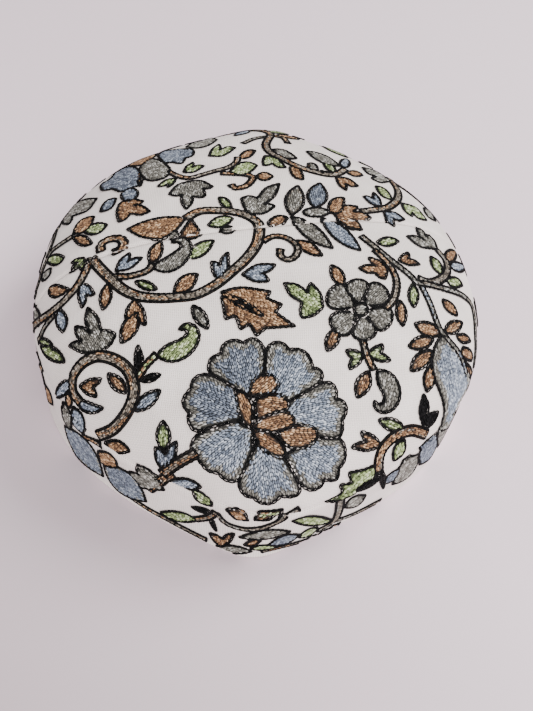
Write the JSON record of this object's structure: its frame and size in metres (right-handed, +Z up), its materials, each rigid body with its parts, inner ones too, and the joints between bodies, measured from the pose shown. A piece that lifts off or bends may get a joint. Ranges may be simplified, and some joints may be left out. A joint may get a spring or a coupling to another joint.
{
  "type": "embroidered cap",
  "caption": "Soft round brimless cotton cap: a flattened domed crown on an upright side band, creased at front and back, open below, embroidered all over with vines and flowers.",
  "frame": {"origin": "middle of the cap's plan box, on the surface that the hem rests on", "axes": "+Z up, -Y towards the cap's front, +X towards the wearer's left"},
  "size_m": [0.1764, 0.2084, 0.071],
  "materials": {
    "cotton_cloth": "matt white cotton with a fine twill weave",
    "black_thread": "soft matt chain stitch",
    "blue_thread": "soft chain stitch with a slight sheen",
    "brown_thread": "soft chain stitch with a slight sheen",
    "green_thread": "soft chain stitch with a slight sheen",
    "grey_thread": "soft chain stitch with a slight sheen"
  },
  "bodies": {
    "root": {"crown_front_panel": "cotton_cloth", "crown_back_panel": "cotton_cloth", "side_band": "cotton_cloth"}
  },
  "joints": []
}
